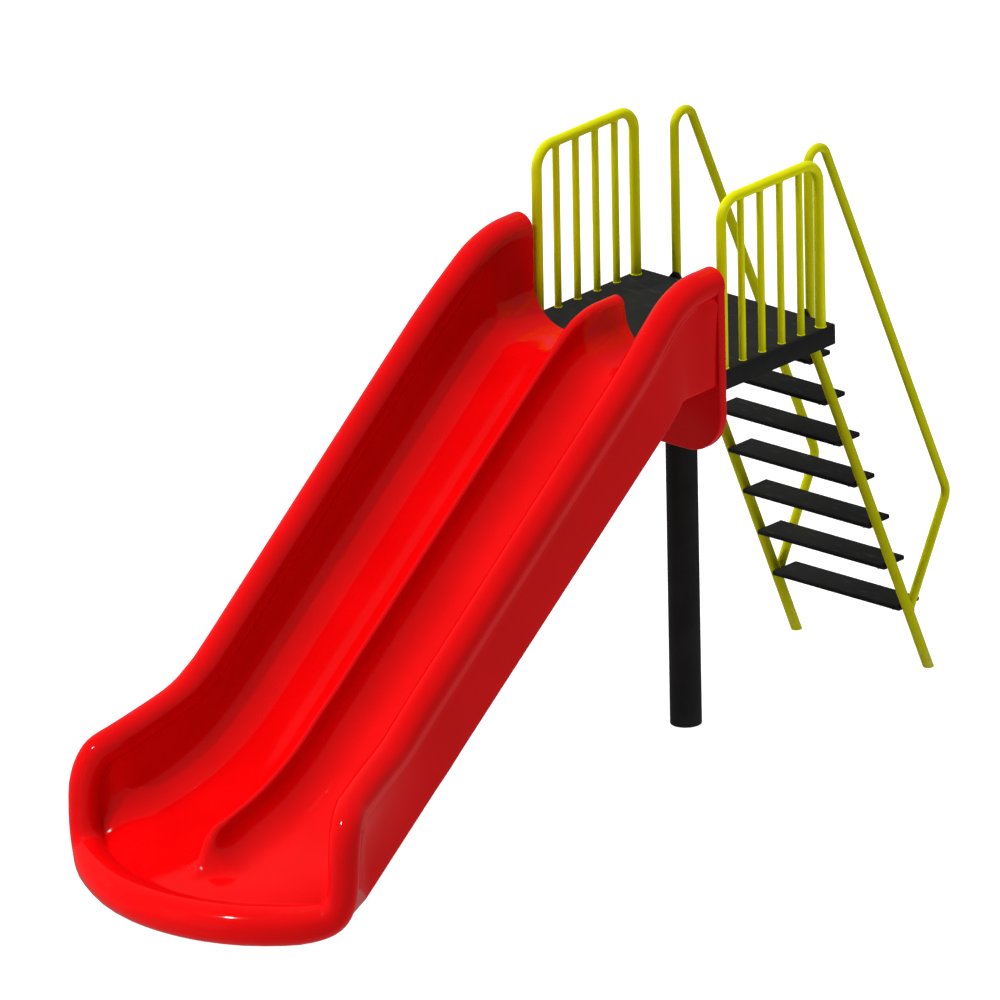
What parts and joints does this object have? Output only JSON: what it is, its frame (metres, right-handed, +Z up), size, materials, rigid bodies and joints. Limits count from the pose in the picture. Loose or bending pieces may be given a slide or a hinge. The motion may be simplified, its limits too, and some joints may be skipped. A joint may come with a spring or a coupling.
{
  "type": "playground slide",
  "caption": "Two-lane playground slide: a one-piece chute from a small deck on a post, with railed guards and a ladder with looped handrails.",
  "frame": {"origin": "on the ground, at the middle of the bounding box's lower face", "axes": "+Z up, +Y from the chute's exit towards the ladder, +X to the right of somebody who looks along +Y"},
  "size_m": [1.3278, 3.9805, 2.1722],
  "materials": {
    "red_plastic": "smooth glossy moulded polyethylene",
    "yellow_coating": "satin powder coating on steel tube",
    "black_steel": "matt dark coating on steel"
  },
  "bodies": {
    "root": {"chute": "red_plastic", "deck_pan": "black_steel", "bearer_front": "black_steel", "bearer_rear": "black_steel", "post_top_plate": "black_steel", "support_post": "black_steel", "guard_frame_left": "yellow_coating", "guard_frame_right": "yellow_coating", "baluster_left_1": "yellow_coating", "baluster_left_2": "yellow_coating", "baluster_left_3": "yellow_coating", "baluster_left_4": "yellow_coating", "baluster_right_1": "yellow_coating", "baluster_right_2": "yellow_coating", "baluster_right_3": "yellow_coating", "baluster_right_4": "yellow_coating", "stringer_left": "yellow_coating", "stringer_right": "yellow_coating", "handrail_left": "yellow_coating", "handrail_right": "yellow_coating", "ladder_bracket_left": "black_steel", "ladder_bracket_right": "black_steel", "tread_1": "black_steel", "tread_2": "black_steel", "tread_3": "black_steel", "tread_4": "black_steel", "tread_5": "black_steel", "tread_6": "black_steel", "tread_7": "black_steel", "exit_foot": "black_steel"}
  },
  "joints": []
}
